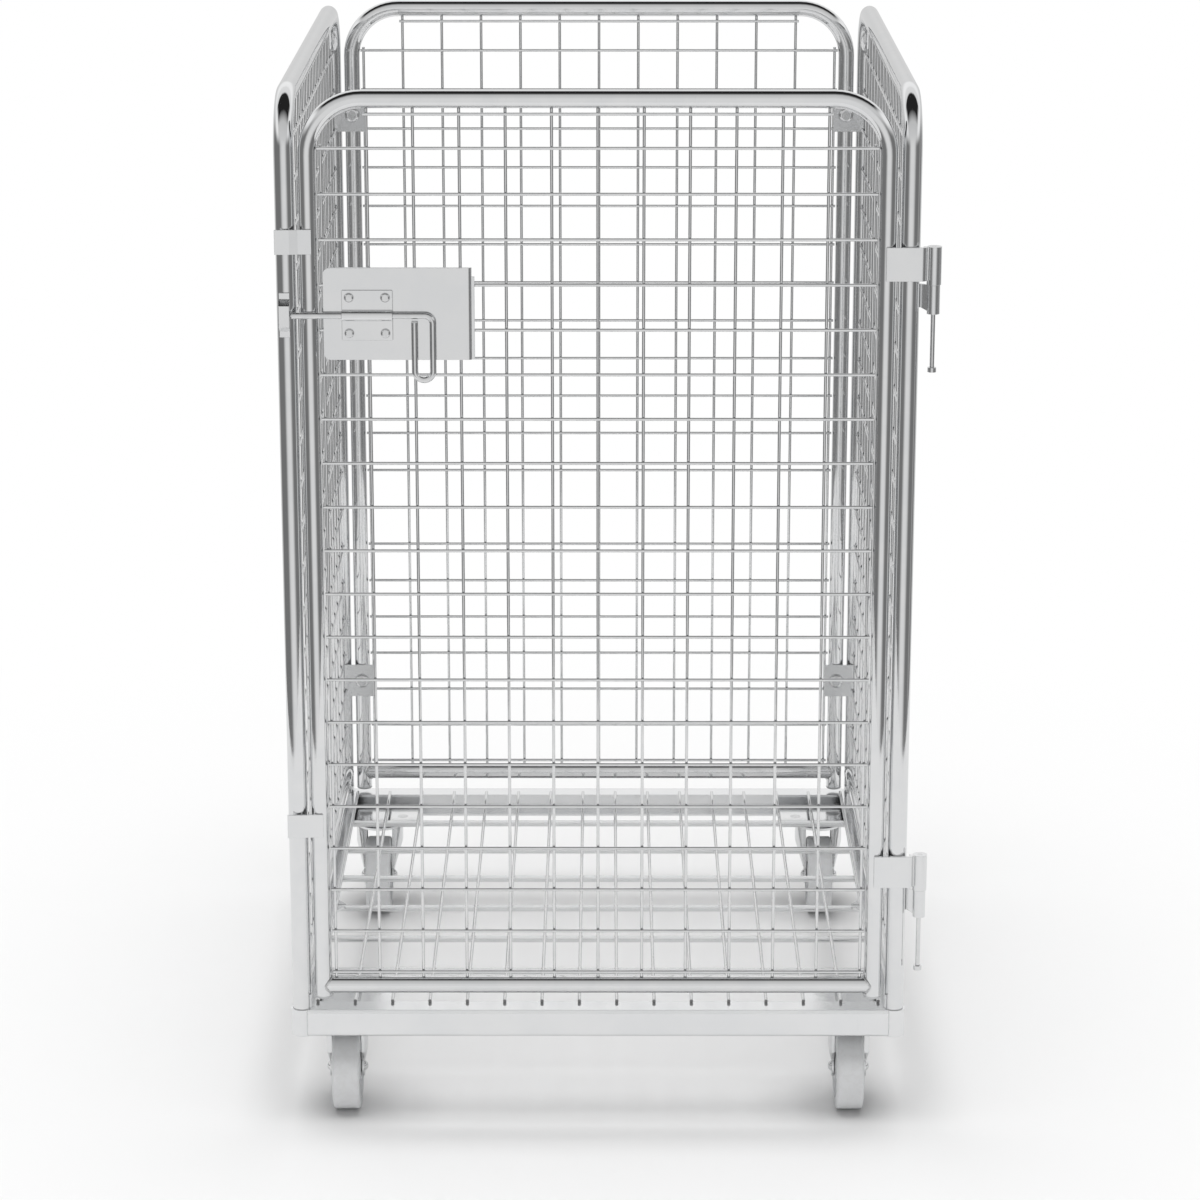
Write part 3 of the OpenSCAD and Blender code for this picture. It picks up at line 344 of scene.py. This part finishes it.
def saddle(end, side, middle, radius, post_r, axis):
    """Path where a tube along X or Y meets an upright of radius post_r, whose middle is at end."""
    path = []
    for a in ring_angles(radius):
        across = radius * math.cos(a)
        along = end - side * math.sqrt(post_r ** 2 - across ** 2)
        place = (along, middle[0] + across) if axis == "X" else (middle[0] + across, along)
        path.append((*place, middle[1] + radius * math.sin(a)))
    return path


def rail_beads(rail, upright, body, axis):
    """Beads at the two ends of a bottom rail, which lies along an axis."""
    low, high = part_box(rail)
    long, across = (0, 1) if axis == "X" else (1, 0)
    radius = (high[2] - low[2]) / 2
    middle = ((low[across] + high[across]) / 2, (low[2] + high[2]) / 2)
    post_low, post_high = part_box(upright)
    post_r = (post_high[across] - post_low[across]) / 2
    ends = ((post_low[long] + post_r, -1), (post_high[long] - post_r, 1))
    paths = [saddle(end, side, middle, radius, post_r + BEAD_R / 2, axis) for end, side in ends]
    bead_group(rail + "_welds", body, paths)


rail_beads("door_rail", "door_frame", "door", "X")
rail_beads("back_rail", "back_frame", "cage", "X")
rail_beads("left_side_rail", "left_side_frame", "cage", "Y")
rail_beads("right_side_rail", "right_side_frame", "cage", "Y")


# Floor

FLOOR_R = 1.9
FADE = (0.6, 1.7)
FLOOR_TONE = 0.86
# Painted shade: the floor's tone as the metal reflects it, darker than its own tone
FLOOR_DIMMED_IN_REFLECTIONS = 0.78
FLOOR_ROUGH = 0.9


def disc(name, radius, rings, spokes):
    """A flat round floor at height 0, as rings of quads round a middle fan."""
    verts = [(0.0, 0.0, 0.0)]
    faces = []
    for r in range(1, rings + 1):
        for s in range(spokes):
            a = 2 * math.pi * s / spokes
            verts.append((radius * r / rings * math.cos(a), radius * r / rings * math.sin(a), 0.0))
    for s in range(spokes):
        faces.append((0, 1 + s, 1 + (s + 1) % spokes))
        for r in range(rings - 1):
            a, b = 1 + r * spokes + s, 1 + r * spokes + (s + 1) % spokes
            faces.append((a, a + spokes, b + spokes, b))
    mesh = bpy.data.meshes.new(name)
    mesh.from_pydata(verts, [], faces)
    obj = bpy.data.objects.new(name, mesh)
    scene.collection.objects.link(obj)
    return obj


def pale_floor():
    """Pale floor that keeps the shadow near the object, fades to white further out and is painted
    darker in reflections.
    """
    material, g, shader, coord = new_material("pale_floor")
    path = g.new("ShaderNodeLightPath").outputs
    # Painted shade in reflections: glossy rays see a darker floor than the camera and lamps do
    tone = g.mix(path["Is Glossy Ray"], grey(FLOOR_TONE), grey(FLOOR_DIMMED_IN_REFLECTIONS))
    g.put(tone, shader.inputs["Base Color"])
    shader.inputs["Roughness"].default_value = FLOOR_ROUGH
    shader.inputs["Specular IOR Level"].default_value = 0.0
    white = g.new("ShaderNodeEmission")
    place = g.split(coord)
    far = g.ease(g.radius(place["X"], place["Y"]), *FADE, 0.0, 1.0)
    blend = g.new("ShaderNodeMixShader")
    g.put(g.calc("MULTIPLY", far, path["Is Camera Ray"]), blend.inputs["Fac"])
    g.put(shader.outputs["BSDF"], blend.inputs[1])
    g.put(white.outputs["Emission"], blend.inputs[2])
    g.put(blend.outputs["Shader"], g.tree.nodes["Material Output"].inputs["Surface"])
    return material


floor = disc("floor", FLOOR_R, rings=6, spokes=96)
floor.data.materials.append(pale_floor())


# Light

AMBIENT, FRONT_FILL = 0.12, 0.75
FILL_AHEAD = (0.3, 1.0)
SIDES = 0.20
FRONT_TURN, FRONT = (0.07, 0.27), 0.62
BACK_TURN, BACK = (0.60, 0.76), 0.50
BESIDE_AT, BESIDE_TURN, BESIDE = 0.51, (0.02, 0.08), 0.15
SKY_ARC = ((0.0, 0.80), (0.30, 0.62), (0.38, 0.24), (0.43, 0.02), (0.64, 0.02),
           (0.67, 0.84), (0.76, 0.86), (0.80, 1.0), (0.95, 1.0), (1.0, 0.80))
SKY_SIDES = (0.70, 0.86)
SKY_FROM = (0.08, 0.40)
SUN_ENERGY = 2.98
SUN_ANGLE = 56
SUN_LEAN = (-1, -1)


def studio_world():
    """White to the camera, a soft studio with darker sides in reflections, and a front fill."""
    world = bpy.data.worlds.new("studio")
    scene.world = world
    world.use_nodes = True
    world.cycles.sampling_method = "NONE"
    world.node_tree.nodes.clear()
    g = Graph(world.node_tree)
    x, y, z = g.split(g.new("ShaderNodeTexCoord").outputs["Generated"])
    ahead = g.calc("MULTIPLY", y, -1.0)

    # Round the horizon, from 0 in front of the door to 1 behind
    turn = g.calc("DIVIDE", g.calc("ABSOLUTE", g.calc("ARCTAN2", x, ahead)), math.pi)
    front = g.ease(turn, *FRONT_TURN, FRONT, 0.0)
    back = g.ease(turn, *BACK_TURN, 0.0, BACK)
    off = g.calc("ABSOLUTE", g.calc("SUBTRACT", turn, BESIDE_AT))
    beside = g.ease(off, *BESIDE_TURN, BESIDE, 0.0)
    right = g.calc("MULTIPLY", beside, g.calc("GREATER_THAN", x, 0.0))
    horizon = g.calc("ADD", g.calc("ADD", front, back), g.calc("ADD", right, SIDES))

    # Overhead, from 0 at the front horizon to 1 at the back, with white to both sides
    arc = g.calc("DIVIDE", g.calc("ARCTAN2", z, ahead), math.pi)
    ramp = g.new("ShaderNodeValToRGB")
    stops = ramp.color_ramp.elements
    while len(stops) < len(SKY_ARC):
        stops.new(1.0)
    for stop, (position, level) in zip(stops, SKY_ARC):
        stop.position = position
        stop.color = (level, level, level, 1.0)
    g.put(arc, ramp.inputs["Fac"])
    beyond = g.ease(g.calc("ABSOLUTE", x), *SKY_SIDES, 0.0, 1.0)
    keep = g.calc("SUBTRACT", 1.0, beyond)
    sky = g.calc("ADD", g.calc("MULTIPLY", ramp.outputs["Color"], keep), beyond)

    lift = g.ease(z, *SKY_FROM, 0.0, 1.0)
    low = g.calc("MULTIPLY", horizon, g.calc("SUBTRACT", 1.0, lift))
    level = g.plus(low, sky, lift)

    path = g.new("ShaderNodeLightPath").outputs
    shine = g.calc("MULTIPLY", path["Is Glossy Ray"], level)
    seen = g.calc("MAXIMUM", path["Is Camera Ray"], path["Is Transmission Ray"])
    plain = g.calc("SUBTRACT", 1.0, g.calc("MAXIMUM", seen, path["Is Glossy Ray"]))
    fill = g.ease(ahead, *FILL_AHEAD, AMBIENT, FRONT_FILL)
    strength = g.plus(g.calc("ADD", seen, shine), plain, fill)
    background = g.new("ShaderNodeBackground")
    background.inputs["Color"].default_value = (1.0, 1.0, 1.0, 1.0)
    g.put(strength, background.inputs["Strength"])
    output = g.new("ShaderNodeOutputWorld")
    g.put(background.outputs["Background"], output.inputs["Surface"])


studio_world()

lamp = bpy.data.lights.new("soft_overhead", "SUN")
lamp.energy = SUN_ENERGY
lamp.angle = math.radians(SUN_ANGLE)
soft = bpy.data.objects.new("soft_overhead", lamp)
soft.rotation_euler = (math.radians(SUN_LEAN[0]), math.radians(SUN_LEAN[1]), 0.0)
soft.visible_glossy = False
scene.collection.objects.link(soft)


# Camera

SENSOR, LENS = 36.0, 115.57
CLIP = (0.05, 100.0)
EYE = (0.008, -4.524, 1.806)
TILT, YAW = 15.884, 0.079

eye = bpy.data.cameras.new("camera")
eye.sensor_width = SENSOR
eye.lens = LENS
eye.clip_start, eye.clip_end = CLIP
camera = bpy.data.objects.new("camera", eye)
camera.location = EYE
camera.rotation_euler = (math.radians(90.0 - TILT), 0.0, math.radians(YAW))
scene.collection.objects.link(camera)
scene.camera = camera

scene.view_settings.view_transform = "Standard"
